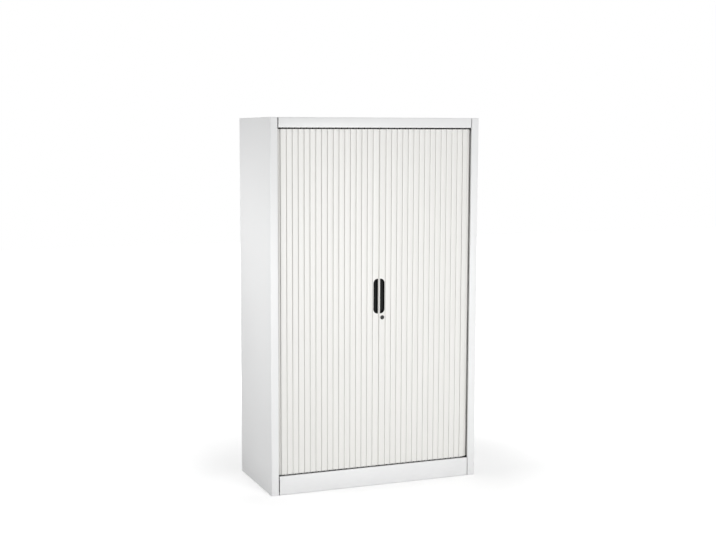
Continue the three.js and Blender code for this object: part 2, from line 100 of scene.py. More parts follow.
class Along(Enum):
    """The axes, by their places in a vector."""

    X = 0
    Y = 1
    Z = 2

    def point(self, place: Pair, run: float) -> Vector:
        """Put a section's point at a distance along the axis.

        Args:
            place: The point in the other two axes.
            run: The distance along the axis, in metres.

        Returns:
            The point in the cabinet's frame.
        """
        values = list(place)
        values.insert(self.value, run)
        return Vector(values)


# Shader groups

EVEN = Vector((1, 1, 1))
SLAT_STRETCH = Vector((260, 260, 1.2))
LOW_DARKENING_STRETCH = Vector((1, 1, 2.5))
CLOUD_DETAIL = 5.0
STREAK_DETAIL = 3.0
FINE_DETAIL = 2.0
BROAD_DETAIL = 1.0
BROAD_SCALE = 140.0
BROAD_SHARE = 0.6
LOW_DARKENING_DETAIL = 6.0
LOW_DARKENING_SCALE = 34.0


def new_group(name: str, inputs: dict[str, float], output: str) -> tuple[Tree, Node, Node]:
    """Start a shader node group.

    Args:
        name: The group's name.
        inputs: Each float input with its default.
        output: The name of its float output.

    Returns:
        The group, its input node and its output node.
    """
    tree = bpy.data.node_groups.new(name, "ShaderNodeTree")
    for label, value in inputs.items():
        socket = tree.interface.new_socket(name=label, in_out="INPUT", socket_type="NodeSocketFloat")
        socket.default_value = value
    tree.interface.new_socket(name=output, in_out="OUTPUT", socket_type="NodeSocketFloat")
    return tree, tree.nodes.new("NodeGroupInput"), tree.nodes.new("NodeGroupOutput")


def feed(tree: Tree, node: Node, inputs: Inputs) -> None:
    """Set or link a node's inputs.

    Args:
        tree: The tree that the node is in.
        node: The node.
        inputs: A value or an output socket for each named or numbered input.
    """
    for label, value in inputs.items():
        if isinstance(value, Socket):
            tree.links.new(value, node.inputs[label])
        else:
            node.inputs[label].default_value = value


def add_node(tree: Tree, kind: str, inputs: Inputs) -> Node:
    """Add a shader node.

    Args:
        tree: The tree that it goes in.
        kind: Its type, without the word ShaderNode.
        inputs: What its inputs are fed with.

    Returns:
        The node.
    """
    node = tree.nodes.new(f"ShaderNode{kind}")
    feed(tree, node, inputs)
    return node


def math_node(tree: Tree, kind: str, *values: float | Socket) -> Socket:
    """Add a math node.

    Args:
        tree: The tree that it goes in.
        kind: The operation.
        values: A number or an output socket for each input.

    Returns:
        The node's output.
    """
    node = tree.nodes.new("ShaderNodeMath")
    node.operation = kind
    feed(tree, node, dict(enumerate(values)))
    return node.outputs["Value"]


def stretched_noise(tree: Tree, stretch: Vector, detail: float, scale: float | Socket) -> Socket:
    """Add noise on the piece's own coordinates, stretched along the axes.

    Args:
        tree: The tree that the nodes go in.
        stretch: The scale of the pattern along X, Y and Z.
        detail: The noise's detail.
        scale: The noise's scale.

    Returns:
        The noise's output.
    """
    place = tree.nodes.new("ShaderNodeTexCoord")
    mapping = add_node(tree, "Mapping", {"Scale": stretch, "Vector": place.outputs["Object"]})
    spot = mapping.outputs["Vector"]
    noise = add_node(tree, "TexNoise", {"Detail": detail, "Scale": scale, "Vector": spot})
    return noise.outputs["Fac"]


@dataclass(frozen=True)
class SurfaceEffects:
    """The effects that several finishes share, each a node group built once."""

    cloud: Tree
    streak: Tree
    skin: Tree
    low_darkening: Tree

    @classmethod
    def build(cls) -> "SurfaceEffects":
        """Build the four groups."""
        cloud = cls._noise_mask("paint_cloud", 3.0, EVEN, CLOUD_DETAIL)
        streak = cls._noise_mask("upright_streak", 1.0, SLAT_STRETCH, STREAK_DETAIL)
        return cls(cloud, streak, cls._skin(), cls._low_darkening())

    @staticmethod
    def _noise_mask(name: str, scale: float, stretch: Vector, detail: float) -> Tree:
        """Build a noise mask from 0 to Amount: soft patches of paint, or long streaks of a slat.

        Args:
            name: The group's name.
            scale: The default of its Scale input.
            stretch: The scale of the pattern along X, Y and Z.
            detail: The noise's detail.

        Returns:
            The group.
        """
        tree, entry, leave = new_group(name, {"Scale": scale, "Amount": 0.05}, "Mask")
        noise = stretched_noise(tree, stretch, detail, entry.outputs["Scale"])
        feed(tree, leave, {"Mask": math_node(tree, "MULTIPLY", noise, entry.outputs["Amount"])})
        return tree

    @staticmethod
    def _skin() -> Tree:
        """The fine pebbled height of powder coat or moulded plastic."""
        tree, entry, leave = new_group("fine_skin", {"Scale": 900.0}, "Height")
        fine = stretched_noise(tree, EVEN, FINE_DETAIL, entry.outputs["Scale"])
        broad = stretched_noise(tree, EVEN, BROAD_DETAIL, BROAD_SCALE)
        part = math_node(tree, "MULTIPLY", broad, BROAD_SHARE)
        feed(tree, leave, {"Height": math_node(tree, "ADD", fine, part)})
        return tree

    @staticmethod
    def _low_darkening() -> Tree:
        """Darkening that thins out with height above the floor, broken up by noise."""
        tree, entry, leave = new_group("floor_darkening", {"Reach": 0.12, "Amount": 0.3}, "Mask")
        place = tree.nodes.new("ShaderNodeTexCoord")
        parts = add_node(tree, "SeparateXYZ", {"Vector": place.outputs["Object"]})
        share = math_node(tree, "DIVIDE", parts.outputs["Z"], entry.outputs["Reach"])
        low = math_node(tree, "SUBTRACT", 1.0, share)
        clear = math_node(tree, "MAXIMUM", low, 0.0)
        noise = stretched_noise(tree, LOW_DARKENING_STRETCH, LOW_DARKENING_DETAIL, LOW_DARKENING_SCALE)
        patch = math_node(tree, "MULTIPLY", clear, noise)
        feed(tree, leave, {"Mask": math_node(tree, "MULTIPLY", patch, entry.outputs["Amount"])})
        return tree


@dataclass(frozen=True)
class Finish:
    """One surface finish: a base colour with its variation, gloss and skin."""

    name: str
    colour: Triple
    shade: Triple
    roughness: float
    metallic: float = 0.0
    specular: float = 0.5
    cloud_scale: float = 3.0
    cloud: float = 0.35
    streak: float = 0.0
    # How strongly the finish turns darker towards the floor
    low_darkening: float = 0.0
    skin_scale: float = 900.0
    skin_depth: float = 0.04 * MM
    skin_strength: float = 0.5
    gloss_spread: float = 0.08

    def material(self, effects: SurfaceEffects) -> bpy.types.Material:
        """Build the finish as a node material.

        Args:
            effects: The shared effect groups.

        Returns:
            The material.
        """
        made = bpy.data.materials.new(self.name)
        made.use_nodes = True
        tree = made.node_tree
        mask = self._group(tree, effects.cloud, {"Scale": self.cloud_scale, "Amount": self.cloud})
        for effect, amount in ((effects.streak, self.streak), (effects.low_darkening, self.low_darkening)):
            if amount:
                mask = math_node(tree, "ADD", mask, self._group(tree, effect, {"Amount": amount}))
        mix = tree.nodes.new("ShaderNodeMix")
        mix.data_type = "RGBA"
        feed(tree, mix, {"A": (*self.colour, 1.0), "B": (*self.shade, 1.0), "Factor": mask})
        spread = math_node(tree, "MULTIPLY", mask, self.gloss_spread)
        height = self._group(tree, effects.skin, {"Scale": self.skin_scale})
        skin = {"Distance": self.skin_depth, "Strength": self.skin_strength, "Height": height}
        surface = {
            "Base Color": mix.outputs["Result"],
            "Metallic": self.metallic,
            "Specular IOR Level": self.specular,
            "Roughness": math_node(tree, "ADD", spread, self.roughness),
            "Normal": add_node(tree, "Bump", skin).outputs["Normal"],
        }
        feed(tree, tree.nodes["Principled BSDF"], surface)
        return made

    @staticmethod
    def _group(tree: Tree, group: Tree, values: dict[str, float]) -> Socket:
        """Pair a shared group with its own values.

        Args:
            tree: The material's tree.
            group: The shared group.
            values: The value of each named input.

        Returns:
            The group's only output.
        """
        node = tree.nodes.new("ShaderNodeGroup")
        node.node_tree = group
        feed(tree, node, values)
        return node.outputs[0]


FINISHES = {
    # The paint turns darker towards the floor, in patches broken up by noise
    Slot.PAINT: Finish("powder_coat_grey_white", (0.88, 0.885, 0.885), (0.80, 0.80, 0.805), 0.42, low_darkening=0.9),
    Slot.SLATS: Finish(
        "satin_slat_warm_white", (0.86, 0.855, 0.83), (0.77, 0.76, 0.73), 0.38, cloud=0.2, streak=0.45
    ),
    Slot.GRIP: Finish(
        "black_grip_plastic", (0.004, 0.005, 0.005), (0.009, 0.010, 0.010), 0.5, specular=0.12, cloud=0.6
    ),
    Slot.TRACK: Finish("dark_track_plastic", (0.035, 0.036, 0.038), (0.06, 0.06, 0.062), 0.5, cloud=0.6),
    Slot.LOCK: Finish(
        "dark_nickel", (0.05, 0.05, 0.049), (0.03, 0.03, 0.03), 0.34,
        metallic=1.0, cloud=0.5, cloud_scale=60.0,
    ),
    Slot.ZINC: Finish(
        "bright_zinc", (0.62, 0.63, 0.64), (0.5, 0.51, 0.53), 0.34,
        metallic=1.0, cloud=0.8, cloud_scale=45.0,
    ),
}


# Modelling by operators


class Bench:
    """Edit-mode tools that shape one mesh at a time."""

    @staticmethod
    def clear() -> None:
        """Deselect everything and leave edit mode."""
        if bpy.context.mode != "OBJECT":
            bpy.ops.object.mode_set(mode="OBJECT")
        bpy.ops.object.select_all(action="DESELECT")

    @classmethod
    def pick(cls, piece: Piece) -> None:
        """Select a piece alone and make it active."""
        cls.clear()
        piece.select_set(True)
        bpy.context.view_layer.objects.active = piece

    @staticmethod
    def named(name: str) -> Piece:
        """Name the primitive that was just added, and its mesh."""
        piece = bpy.context.object
        piece.name = piece.data.name = name
        return piece

    @classmethod
    def block(cls, name: str, corner: Vector, opposite: Vector) -> Piece:
        """Start a piece from a cube at its size and place.

        Args:
            name: The piece's name.
            corner: One corner.
            opposite: The corner opposite.

        Returns:
            The piece, with its place in its mesh.
        """
        cls.clear()
        bpy.ops.mesh.primitive_cube_add(size=1.0)
        piece = cls.named(name)
        low, high = Vector([*map(min, corner, opposite)]), Vector([*map(max, corner, opposite)])
        size = high - low
        middle = (low + high) / 2
        piece.data.transform(Matrix.Translation(middle) @ Matrix.Diagonal((*size, 1.0)))
        return piece

    @classmethod
    def drum(cls, name: str, centre: Vector, radius: float, length: float, sides: int) -> Piece:
        """Start a piece from a cylinder that lies along Y.

        Args:
            name: The piece's name.
            centre: The middle of its front end.
            radius: The radius.
            length: How far it runs back from the front end.
            sides: The number of sides.

        Returns:
            The piece, with its place in its mesh.
        """
        cls.clear()
        bpy.ops.mesh.primitive_cylinder_add(vertices=sides, radius=radius, depth=length)
        piece = cls.named(name)
        turn = Matrix.Rotation(math.radians(90), 4, "X")
        middle = centre + Vector((0, length / 2, 0))
        piece.data.transform(Matrix.Translation(middle) @ turn)
        return piece

    @staticmethod
    def edit(piece: Piece, kind: str, test: Test) -> None:
        """Enter edit mode with the edges or faces that pass a test selected.

        Args:
            piece: The piece.
            kind: EDGE or FACE.
            test: Says which elements are selected.
        """
        bpy.context.view_layer.objects.active = piece
        piece.select_set(True)
        if bpy.context.mode != "EDIT_MESH":
            bpy.ops.object.mode_set(mode="EDIT")
        bpy.ops.mesh.select_mode(type=kind)
        bpy.ops.mesh.select_all(action="DESELECT")
        mesh = bmesh.from_edit_mesh(piece.data)
        for element in mesh.edges if kind == "EDGE" else mesh.faces:
            if test(element):
                element.select_set(True)
        mesh.select_flush_mode()
        bmesh.update_edit_mesh(piece.data)

    @classmethod
    def modify(cls, piece: Piece, kind: str, **settings: object) -> None:
        """Add a modifier and apply it.

        Args:
            piece: The piece.
            kind: The modifier's type.
            settings: Its settings.
        """
        cls.pick(piece)
        modifier = piece.modifiers.new(kind.lower(), kind)
        for label, value in settings.items():
            setattr(modifier, label, value)
        bpy.ops.object.modifier_apply(modifier=modifier.name)

    @classmethod
    def round(cls, piece: Piece, width: float, steps: int = 2, everywhere: bool = False) -> None:
        """Round a piece's sharp rims.

        Args:
            piece: The piece.
            width: The width of the rounding.
            steps: How many faces it has.
            everywhere: Whether every edge is rounded, or only those sharper than SHARP.
        """
        limit = "NONE" if everywhere else "ANGLE"
        cls.modify(piece, "BEVEL", width=width, segments=steps, limit_method=limit, angle_limit=SHARP)

    @classmethod
    def smooth(cls, piece: Piece, angle: float = 35.0) -> None:
        """Shade a piece smooth up to an angle, in degrees.

        Args:
            piece: The piece.
            angle: The sharpest edge that is shaded smooth.
        """
        cls.pick(piece)
        bpy.ops.object.shade_smooth_by_angle(angle=math.radians(angle))

    @classmethod
    def soften(cls, piece: Piece, width: float, steps: int = 2) -> None:
        """Round a piece's sharp rims and shade it.

        Args:
            piece: The piece.
            width: The width of the rounding.
            steps: How many faces it has.
        """
        cls.round(piece, width, steps)
        cls.smooth(piece)

    @classmethod
    def cut(cls, piece: Piece, tool: Piece) -> None:
        """Cut a tool's shape out of a piece and delete the tool.

        Args:
            piece: The piece.
            tool: The shape to take away.
        """
        cls.modify(piece, "BOOLEAN", operation="DIFFERENCE", solver="EXACT", object=tool)
        bpy.data.objects.remove(tool)

    @classmethod
    def join(cls, pieces: list[Piece], name: str) -> Piece:
        """Join pieces of one finish into one object.

        Args:
            pieces: The pieces.
            name: The joined piece's name.

        Returns:
            The joined piece.
        """
        cls.clear()
        for piece in pieces:
            piece.select_set(True)
        bpy.context.view_layer.objects.active = pieces[0]
        bpy.ops.object.join()
        pieces[0].name = pieces[0].data.name = name
        return pieces[0]

    @classmethod
    def copy(cls, piece: Piece, name: str, move: Matrix) -> Piece:
        """Copy a piece with a mesh of its own.

        Args:
            piece: The piece.
            name: The copy's name.
            move: Where the copy's mesh goes.

        Returns:
            The copy.
        """
        double = piece.copy()
        double.data = piece.data.copy()
        double.name = double.data.name = name
        double.data.transform(move)
        bpy.context.scene.collection.objects.link(double)
        return double


def runs_along(edge: Edge, axis: Along) -> bool:
    """Say whether an edge runs along an axis."""
    run = edge.verts[0].co - edge.verts[1].co
    across = max(abs(run[other.value]) for other in Along if other is not axis)
    return abs(run[axis.value]) > ALONG_RATIO * across


def upright(edge: Edge) -> bool:
    """Say whether an edge runs along Z."""
    return runs_along(edge, Along.Z)


def middle_of(element: Element) -> Vector:
    """Find the middle of an edge's or a face's corners."""
    return sum((vert.co for vert in element.verts), Vector()) / len(element.verts)


@dataclass(frozen=True)
class SheetMetal:
    """How the cabinet's sheet steel is bent: its thickness and the softness of its folds and rims."""

    thickness: float = 1.5 * MM
    fold: float = 3.2 * MM
    fold_steps: int = 6
    pan_fold: float = 1.6 * MM
    pan_fold_steps: int = 3
    rim: float = 0.35 * MM
    weld: float = 0.035 * MM

    def folded(self, name: str, corners: list[Pair], along: Along, start: float, end: float) -> Piece:
        """Fold a strip of sheet along a line of corners.

        Args:
            name: The piece's name.
            corners: The section's corners, on the middle of the sheet.
            along: The axis that the section runs along.
            start: Where the run starts.
            end: Where the run ends.

        Returns:
            The folded piece.
        """
        Bench.clear()
        bpy.ops.mesh.primitive_plane_add(size=1.0)
        piece = Bench.named(name)
        strip = [along.point(place, run) for place in corners[:2] for run in (start, end)]
        for vertex, place in zip(piece.data.vertices, strip):
            vertex.co = place
        for before, after in zip(corners[1:], corners[2:]):
            from_middle = along.point(before, (start + end) / 2)
            step = along.point(after, 0.0) - along.point(before, 0.0)
            Bench.edit(piece, "EDGE", lambda edge: (middle_of(edge) - from_middle).length < self.rim)
            bpy.ops.mesh.extrude_edges_move(TRANSFORM_OT_translate={"value": step})
        folds = [along.point(place, (start + end) / 2) for place in corners[1:-1]]
        Bench.edit(
            piece, "EDGE", lambda edge: any((middle_of(edge) - fold).length < self.rim for fold in folds)
        )
        bpy.ops.mesh.bevel(offset=self.fold, segments=self.fold_steps)
        bpy.ops.mesh.select_all(action="SELECT")
        bpy.ops.mesh.remove_doubles(threshold=self.weld)
        bpy.ops.mesh.normals_make_consistent(inside=False)
        Bench.modify(piece, "SOLIDIFY", thickness=self.thickness, offset=0.0, use_even_offset=True)
        Bench.soften(piece, self.rim)
        return piece

    def pan(self, name: str, low: Vector, high: Vector, corner_cut: float, open_below: bool) -> Piece:
        """Fold a pan: a plate with walls all round and its front corners cut off.

        Args:
            name: The piece's name.
            low: The lowest corner.
            high: The highest corner.
            corner_cut: How far each front corner is cut back.
            open_below: Whether the open side is below.

        Returns:
            The pan.
        """
        piece = Bench.block(name, low, high)
        Bench.edit(piece, "EDGE", lambda edge: upright(edge) and middle_of(edge).y < (low.y + high.y) / 2)
        bpy.ops.mesh.bevel(offset=corner_cut, segments=1)
        way = -1.0 if open_below else 1.0
        Bench.edit(piece, "FACE", lambda face: face.normal.z * way > FACING)
        bpy.ops.mesh.delete(type="ONLY_FACE")
        plate = high.z if open_below else low.z
        Bench.edit(piece, "EDGE", lambda edge: upright(edge) or abs(middle_of(edge).z - plate) < self.rim)
        bpy.ops.mesh.bevel(offset=self.pan_fold, segments=self.pan_fold_steps)
        Bench.modify(piece, "SOLIDIFY", thickness=self.thickness, offset=-1.0, use_even_offset=True)
        Bench.soften(piece, self.rim)
        return piece


class Dresser:
    """Gives pieces their finish and body, hides the CAD nodes that they replace, and keeps the count."""

    def __init__(self) -> None:
        """Build the finishes."""
        effects = SurfaceEffects.build()
        self.materials = {slot: finish.material(effects) for slot, finish in FINISHES.items()}
        self.count = 0

    def dress(self, piece: Piece, slot: Slot, body: str, node: str = "") -> None:
        """Give a new piece its finish, hang it on its body and hide the CAD node that it replaces.

        Args:
            piece: The piece.
            slot: Its finish.
            body: The body that it rides on.
            node: The CAD node that it replaces, if any.
        """
        piece.data.materials.clear()
        piece.data.materials.append(self.materials[slot])
        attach(piece, body)
        if node:
            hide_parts(node)
        self.count += 1
        LOG.info("piece %s on %s", piece.name, body)

    def finish_node(self, node: str, slot: Slot) -> None:
        """Give a CAD node that stays its finish.

        Args:
            node: The node's name.
            slot: Its finish.
        """
        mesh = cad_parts[node].data
        mesh.materials.clear()
        mesh.materials.append(self.materials[slot])
        LOG.info("node %s finished", node)


def span(node: str) -> tuple[Vector, Vector]:
    """Give a node's lowest and highest corners as vectors."""
    low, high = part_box(node)
    return Vector(low), Vector(high)


@dataclass
class Carcass:
    """The steel shell: side panels with posts, header, plinth, lid, back, floor, ceiling and liners."""

    dresser: Dresser
    sheet: SheetMetal
    corner_cut: float = 34 * MM
    shelf_corner_cut: float = 40 * MM
    end_seam: float = 1.8 * MM
    rear_flange: float = 30 * MM
    seat_bend: float = 2.5 * MM
    seat_overhang: float = 1.0 * MM
    plinth_foot: float = 22 * MM
    lid_edge: float = 0.7 * MM
    lid_edge_steps: int = 3
    strip_front: float = 30 * MM
    strip_back: float = 5.3 * MM
    field_margin: float = 40 * MM
    field_slope: float = 3 * MM
    field_depth: float = 0.5 * MM

    def build(self) -> None:
        """Model and dress the shell."""
        for side in Side:
            self._side_panel(side)
            self._liner(side)
        self._front_rail("header_rail")
        self._front_rail("plinth")
        self._lid()
        self._back()
        self._pans()
        for node in ("lower_track", "upper_track"):
            self.dresser.finish_node(node, Slot.TRACK)

    def _side_panel(self, side: Side) -> None:
        """Fold a side panel: return, post, skin and rear flange.

        Args:
            side: The side of the cabinet.
        """
        node = f"{side.word}_side_panel"
        low, high = span(node)
        half = self.sheet.thickness / 2
        inner, outer = side.walls(low, high)
        post = inner + side.value * half
        skin = outer - side.value * half
        return_end = span("left_slat_01")[0].y - self.sheet.thickness
        corners = [
            (post, return_end),
            (post, low.y + half),
            (skin, low.y + half),
            (skin, high.y - half),
            (skin - side.value * self.rear_flange, high.y - half),
        ]
        piece = self.sheet.folded(f"{node}_shell", corners, Along.Z, low.z, high.z)
        self.dresser.dress(piece, Slot.PAINT, "root", node)

    def _liner(self, side: Side) -> None:
        """Fold a liner: the channel's inner wall with its two flanges.

        Args:
            side: The side of the cabinet.
        """
        node = f"{side.word}_liner"
        low, high = span(node)
        half = self.sheet.thickness / 2
        inner, flange = side.walls(low, high)
        wall = inner + side.value * half
        base, top = low.z + half, high.z - half
        corners = [(flange, base), (wall, base), (wall, top), (flange, top)]
        piece = self.sheet.folded(f"{node}_shell", corners, Along.Y, low.y, high.y)
        self.dresser.dress(piece, Slot.PAINT, "root", node)

    def _front_rail(self, node: str) -> None:
        """Fold the header or the plinth with its shelf and track seat.

        Args:
            node: header_rail or plinth.
        """
        low, high = span(node)
        half = self.sheet.thickness / 2
        track_low, track_high = span("upper_track" if node == "header_rail" else "lower_track")
        seat_wall = track_low.y - FIT_GAP - self.seat_bend
        seat_back = span("left_slat_01")[1].y + self.seat_overhang
        face = low.y + half
        if node == "header_rail":
            seat = track_high.z + FIT_GAP + half
            shelf = low.z + half
            corners = [(face, high.z)]
        else:
            seat = track_low.z - FIT_GAP - half
            shelf = high.z - half
            corners = [(low.y + self.plinth_foot, half), (face, half)]
        corners += [(face, shelf), (seat_wall, shelf), (seat_wall, seat), (seat_back, seat)]
        start, end = low.x + self.end_seam, high.x - self.end_seam
        piece = self.sheet.folded(f"{node}_shell", corners, Along.X, start, end)
        self.dresser.dress(piece, Slot.PAINT, "root", node)

    def _lid(self) -> None:
        """Make the lid with its rounded edge and the strips below its sides."""
        low, high = span("top_panel")
        plate = Bench.block("top_panel_plate", Vector((low.x, low.y, high.z - self.sheet.thickness)), high)
        Bench.round(plate, self.lid_edge, self.lid_edge_steps, everywhere=True)
        strips = []
        for side in Side:
            outer = side.value * (high.x - self.sheet.thickness - FIT_GAP)
            inner = outer - side.value * self.sheet.thickness
            front = Vector((outer, low.y + self.strip_front, low.z))
            back = Vector((inner, high.y - self.strip_back, high.z - self.sheet.thickness / 2))
            strips.append(Bench.block(f"lid_strip_{side.word}", front, back))
        piece = Bench.join([plate, *strips], "top_panel_shell")
        Bench.smooth(piece)
        self.dresser.dress(piece, Slot.PAINT, "root", "top_panel")

    def _back(self) -> None:
        """Make the back panel with a shallow field pressed into it."""
        low, high = span("back_panel")
        piece = Bench.block("back_panel_shell", low, high)
        Bench.edit(piece, "FACE", lambda face: face.normal.y > FACING)
        bpy.ops.mesh.inset(thickness=self.field_margin)
        bpy.ops.mesh.inset(thickness=self.field_slope, depth=-self.field_depth)
        Bench.soften(piece, self.sheet.rim)
        self.dresser.dress(piece, Slot.PAINT, "root", "back_panel")

    def _pans(self) -> None:
        """Fold the floor, the ceiling and the shelves."""
        pans = {"bottom_panel": (self.corner_cut, True), "ceiling_panel": (self.corner_cut, False)}
        for number in SHELVES:
            pans[f"shelf_{number}"] = (self.shelf_corner_cut, True)
        for node, (corner_cut, open_below) in pans.items():
            low, high = span(node)
            piece = self.sheet.pan(f"{node}_shell", low, high, corner_cut, open_below)
            self.dresser.dress(piece, Slot.PAINT, "root", node)


@dataclass
class ShelfRails:
    """The zinc plated uprights on the liners, punched in rows, with an arm under each shelf end."""

    dresser: Dresser
    sheet: SheetMetal
    width: float = 60 * MM
    leg: float = 22 * MM
    slot_width: float = 4 * MM
    slot_height: float = 14 * MM
    slot_pitch: float = 50 * MM
    slot_inset: float = 12 * MM

    def build(self) -> None:
        """Fold, punch and dress both rails."""
        for side in Side:
            node = f"{side.word}_shelf_rail"
            low, high = span(node)
            lip, wall = side.walls(low, high)
            middle = (low.y + high.y) / 2
            front = Vector((wall, middle - self.width / 2, low.z))
            back = Vector((wall - side.value * self.sheet.thickness, middle + self.width / 2, high.z))
            strip = Bench.block(f"{node}_strip", front, back)
            Bench.cut(strip, self._punch(front, back))
            Bench.soften(strip, self.sheet.rim)
            arms = [self._arm(side, number, (wall, lip), (low.y, high.y)) for number in SHELVES]
            rail = Bench.join([strip, *arms], f"{node}_folded")
            Bench.smooth(rail)
            self.dresser.dress(rail, Slot.ZINC, "root", node)

    def _punch(self, low: Vector, high: Vector) -> Piece:
        """Make the tool that punches both rows of slots.

        Args:
            low: The strip's lower front corner.
            high: The strip's upper back corner.

        Returns:
            The tool.
        """
        half = Vector((self.sheet.thickness, self.slot_width / 2, self.slot_height / 2))
        middle = (low + high) / 2
        count = int((high.z - low.z) / self.slot_pitch)
        first = middle.z - (count - 1) * self.slot_pitch / 2
        teeth = []
        for y in (low.y + self.slot_inset, high.y - self.slot_inset):
            for step in range(count):
                place = Vector((middle.x, y, first + step * self.slot_pitch))
                teeth.append(Bench.block(f"slot_tooth_{len(teeth)}", place - half, place + half))
        return Bench.join(teeth, "slot_punch")

    def _arm(self, side: Side, number: int, reach: Pair, depth: Pair) -> Piece:
        """Fold the arm under one shelf end.

        Args:
            side: The side of the cabinet.
            number: The shelf's number, from below.
            reach: The X of the rail's outer face and of the arm's lip.
            depth: The Y of the arm's front and back.

        Returns:
            The arm.
        """
        half = self.sheet.thickness / 2
        wall, lip = reach
        seat = span(f"shelf_{number}")[0].z - FIT_GAP - half
        leg_x = wall - side.value * half
        corners = [(leg_x, seat - self.leg), (leg_x, seat), (lip, seat)]
        return self.sheet.folded(f"shelf_arm_{side.word}_{number}", corners, Along.Y, *depth)


